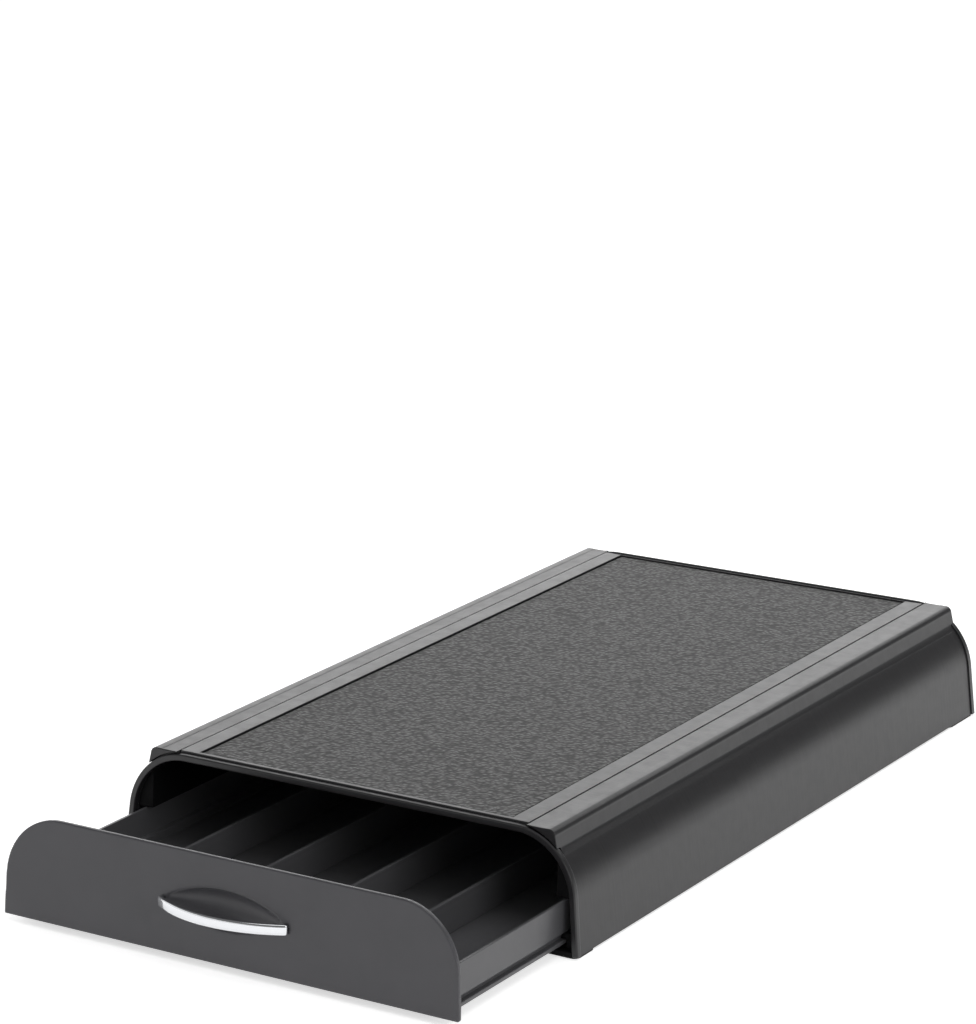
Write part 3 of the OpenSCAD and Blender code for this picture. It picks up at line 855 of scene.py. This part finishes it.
class PODDRAWER_OT_base(bpy.types.Operator):
    """Rounds the base plate, runners, guides and stops"""

    bl_idname = "poddrawer.base"
    bl_label = "Base and slides"

    def execute(self, context):
        width = context.scene.pod_sizes.fine_edge
        finish = inner_finish(context)
        moulding("base_plate", HOUSING, "dark_plastic", finish, width)
        for part in ("runner", "guide", "stop"):
            for side in SIDES:
                moulding(part + "_" + side, HOUSING, "dark_plastic", finish, width)
        return {"FINISHED"}


class PODDRAWER_OT_feet(bpy.types.Operator):
    """Rounds the rubber feet and sinks a ring into their soles"""

    bl_idname = "poddrawer.feet"
    bl_label = "Feet"

    def execute(self, context):
        finish = rubber("foot_rubber", context.scene.pod_colours.rubber)
        for corner in CORNERS:
            node = "foot_" + corner
            foot = merged_copy(node, node + "_pad")
            edit(foot)
            choose(foot, "faces", self.is_sole)
            bpy.ops.mesh.inset(thickness=FOOT_RING_IN)
            bpy.ops.mesh.inset(thickness=FOOT_RING_STEP, depth=-FOOT_RING_DEPTH)
            bpy.ops.mesh.inset(thickness=FOOT_RING_STEP, depth=FOOT_RING_DEPTH)
            close()
            round_edges(foot, FOOT_EDGE, 2)
            settle(foot)
            dress(foot, HOUSING, "foot_rubber", finish, node)
        return {"FINISHED"}

    @staticmethod
    def is_sole(face):
        """Whether a face is the one that a foot stands on."""
        return face.normal.z < -LEVEL_FACE and face.calc_center_median().z < SOLE_REACH


class PODDRAWER_OT_tray(bpy.types.Operator):
    """Rounds the drawer's tray and its lane dividers"""

    bl_idname = "poddrawer.tray"
    bl_label = "Tray and dividers"

    def execute(self, context):
        width = context.scene.pod_sizes.edge
        finish = plastic("tray_satin", context.scene.pod_colours.tray, 0.34)
        moulding("drawer_tray", DRAWER, "tray_plastic", finish, width)
        for i in range(1, LANE_DIVIDERS + 1):
            moulding(f"lane_divider_{i}", DRAWER, "tray_plastic", finish, width)
        return {"FINISHED"}


class PODDRAWER_OT_front(bpy.types.Operator):
    """Models the drawer front with soft edges and a soft rim on its scoop"""

    bl_idname = "poddrawer.front"
    bl_label = "Drawer front"

    def execute(self, context):
        sizes = context.scene.pod_sizes
        front = merged_copy("drawer_front", "drawer_front_moulding")
        lean(front)
        apply(front, "REMESH", mode="VOXEL", voxel_size=FRONT_VOXEL)
        apply(front, "SMOOTH", factor=0.5, iterations=2)
        rim = front.vertex_groups.new(name="scoop_rim")
        rim.add([v.index for v in front.data.vertices if self.near_scoop(v.co)], 1, "ADD")
        apply(
            front, "SMOOTH", factor=0.5, iterations=sizes.scoop_rim, vertex_group="scoop_rim"
        )
        apply(front, "DECIMATE", decimate_type="COLLAPSE", ratio=FRONT_KEPT_FACES)
        lean(front, back=True)
        settle(front)
        dress(
            front, DRAWER, "front_plastic",
            plastic("front_satin", context.scene.pod_colours.front, 0.4, depth=0.016),
            "drawer_front",
        )
        return {"FINISHED"}

    @staticmethod
    def near_scoop(place):
        """Whether a point of the upright front lies at the scoop's rim."""
        x, y, z = place / MM
        wide, high = SCOOP_HALF
        beside, above, behind = SCOOP_MARGIN
        return (
            abs(x) < wide + beside and abs(z - SCOOP_Z) < high + above
            and y < DRAWER_Y + FRONT_FACE_Y + behind
        )


class PODDRAWER_OT_handle(bpy.types.Operator):
    """Models the handle's bowed band with soft, polished edges"""

    bl_idname = "poddrawer.handle"
    bl_label = "Handle"

    def execute(self, context):
        handle = merged_copy("handle_bow", "handle_bow_chrome")
        lean(handle)
        apply(handle, "REMESH", mode="VOXEL", voxel_size=HANDLE_VOXEL)
        apply(handle, "SMOOTH", factor=0.5, iterations=context.scene.pod_sizes.handle_softness)
        lean(handle, back=True)
        settle(handle)
        dress(
            handle, DRAWER, "handle_chrome",
            chrome("handle_chrome", context.scene.pod_colours.chrome), "handle_bow",
        )
        return {"FINISHED"}


class PODDRAWER_OT_screws(bpy.types.Operator):
    """Turns a screw of each kind and sets its copies in their places"""

    bl_idname = "poddrawer.screws"
    bl_label = "Screws"

    def execute(self, context):
        finish = zinc("screw_zinc", context.scene.pod_colours.steel)
        for node, kind in SCREWS.items():
            model = self.turn_screw(
                kind.shank_radius * MM, kind.head_radius * MM, kind.head_height * MM,
                kind.shank_length * MM, context.scene.pod_sizes.pitch,
            )
            copies = []
            for x, y, z in kind.seats:
                for side in (-1, 1):
                    copy = model.copy()
                    copy.data = model.data.copy()
                    context.scene.collection.objects.link(copy)
                    copy.data.transform(self.seat(kind.body, kind.way, (side * x, y, z)))
                    copies.append(copy)
            bpy.data.objects.remove(model)
            deselect()
            for copy in copies:
                copy.select_set(True)
            context.view_layer.objects.active = copies[0]
            bpy.ops.object.join()
            screws = context.object
            screws.name = screws.data.name = node + "_zinc"
            dress(screws, kind.body, "screw_steel", finish, node)
        return {"FINISHED"}

    @staticmethod
    def seat(body, way, place):
        """Where a screw modelled along Z goes."""
        matrix = Matrix.Translation(Vector(place) * MM)
        if way == "forward":
            matrix = matrix @ Matrix.Rotation(math.radians(90), 4, "X")
        if body == HOUSING:
            return Matrix.Translation((0, HOUSING_Y * MM, 0)) @ matrix
        pivot = Matrix.Translation((0, 0, BASE_Z * MM))
        raked = pivot @ Matrix.Rotation(-RAKE, 4, "X") @ pivot.inverted()
        return Matrix.Translation((0, DRAWER_Y * MM, 0)) @ raked @ matrix

    def turn_screw(self, shank, head, rise, length, pitch):
        """A pan-head screw along Z: domed head, cross recess, ringed shank, tip."""
        outline = self.outline(shank, head, rise, length, pitch)
        deselect()
        bpy.ops.mesh.primitive_plane_add(size=MM)
        screw = bpy.context.object
        edit(screw, "VERT")
        bpy.ops.mesh.select_all(action="SELECT")
        bpy.ops.mesh.merge(type="CENTER")
        bpy.ops.transform.translate(value=(outline[0][0], 0, outline[0][1]))
        for (r0, z0), (r1, z1) in zip(outline, outline[1:]):
            bpy.ops.mesh.extrude_region_move(
                TRANSFORM_OT_translate={"value": (r1 - r0, 0, z1 - z0)}
            )
        bpy.ops.mesh.select_all(action="SELECT")
        bpy.ops.mesh.spin(
            steps=SCREW_SIDES, angle=math.tau, center=(0, 0, 0), axis=(0, 0, 1)
        )
        bpy.ops.mesh.select_all(action="SELECT")
        bpy.ops.mesh.remove_doubles(threshold=SCREW_MERGE_REACH)
        bpy.ops.mesh.select_all(action="SELECT")
        bpy.ops.mesh.normals_make_consistent(inside=False)
        close()
        for turn in (0, math.radians(90)):
            self.cut_bar(screw, head, rise, turn)
        pick(screw)
        bpy.ops.object.shade_smooth_by_angle(angle=SCREW_SMOOTH_ANGLE)
        return screw

    @staticmethod
    def outline(shank, head, rise, length, pitch):
        """Radii and heights from the middle of a screw's head to its tip."""
        points = [(along * head, -down * rise) for along, down in PAN_HEAD]
        points.append((shank, 0))
        threaded = length - TIP_LENGTH * shank
        rings = max(2, int(threaded / pitch))
        step = threaded / rings
        for i in range(rings):
            points += [
                (THREAD_ROOT * shank, (i + ROOT_PLACE) * step), (shank, (i + 1) * step)
            ]
        out, back = TIP_SHOULDER
        return points + [(out * shank, length - back * shank), (0, length)]

    @staticmethod
    def cut_bar(screw, head, rise, turn):
        """Cuts one bar of the cross recess, which narrows towards its ground."""
        deselect()
        bpy.ops.mesh.primitive_cube_add(size=1, location=(0, 0, -rise))
        cutter = bpy.context.object
        edit(cutter)
        bpy.ops.mesh.select_all(action="SELECT")
        long, wide, deep = RECESS
        bpy.ops.transform.resize(value=(long * head, wide * head, deep * rise))
        bpy.ops.mesh.select_all(action="DESELECT")
        choose(cutter, "faces", lambda face: face.normal.z > LEVEL_FACE)
        bpy.ops.transform.resize(value=RECESS_TAPER)
        close()
        cutter.rotation_euler.z = turn
        bpy.context.view_layer.update()
        apply(screw, "BOOLEAN", object=cutter, operation="DIFFERENCE", solver="EXACT")
        bpy.data.objects.remove(cutter)


class PODDRAWER_PT_panel(bpy.types.Panel):
    """Lists the pieces in the 3D view's sidebar"""

    bl_idname = "PODDRAWER_PT_panel"
    bl_label = "Coffee Pod Drawer"
    bl_space_type = "VIEW_3D"
    bl_region_type = "UI"
    bl_category = "Pod Drawer"

    def draw(self, context):
        for settings in (context.scene.pod_sizes, context.scene.pod_colours):
            for name in settings.bl_rna.properties.keys():
                if name not in ("rna_type", "name"):
                    self.layout.prop(settings, name)
        for operator in OPERATORS:
            self.layout.operator(operator.bl_idname)


OPERATORS = (
    PODDRAWER_OT_stage, PODDRAWER_OT_shells, PODDRAWER_OT_rims, PODDRAWER_OT_deck,
    PODDRAWER_OT_mat, PODDRAWER_OT_base, PODDRAWER_OT_feet, PODDRAWER_OT_tray,
    PODDRAWER_OT_front, PODDRAWER_OT_handle, PODDRAWER_OT_screws,
)
CLASSES = (PodDrawerSizes, PodDrawerColours, *OPERATORS, PODDRAWER_PT_panel)


def register():
    """Adds the operators, the panel and the scene's settings."""
    for item in CLASSES:
        bpy.utils.register_class(item)
    bpy.types.Scene.pod_sizes = bpy.props.PointerProperty(type=PodDrawerSizes)
    bpy.types.Scene.pod_colours = bpy.props.PointerProperty(type=PodDrawerColours)


def unregister():
    """Takes away what register added."""
    del bpy.types.Scene.pod_colours
    del bpy.types.Scene.pod_sizes
    for item in reversed(CLASSES):
        bpy.utils.unregister_class(item)


def main():
    """Makes every piece in turn."""
    register()
    for operator in OPERATORS:
        group, name = operator.bl_idname.split(".")
        getattr(getattr(bpy.ops, group), name)()


if __name__ == "__main__":
    main()
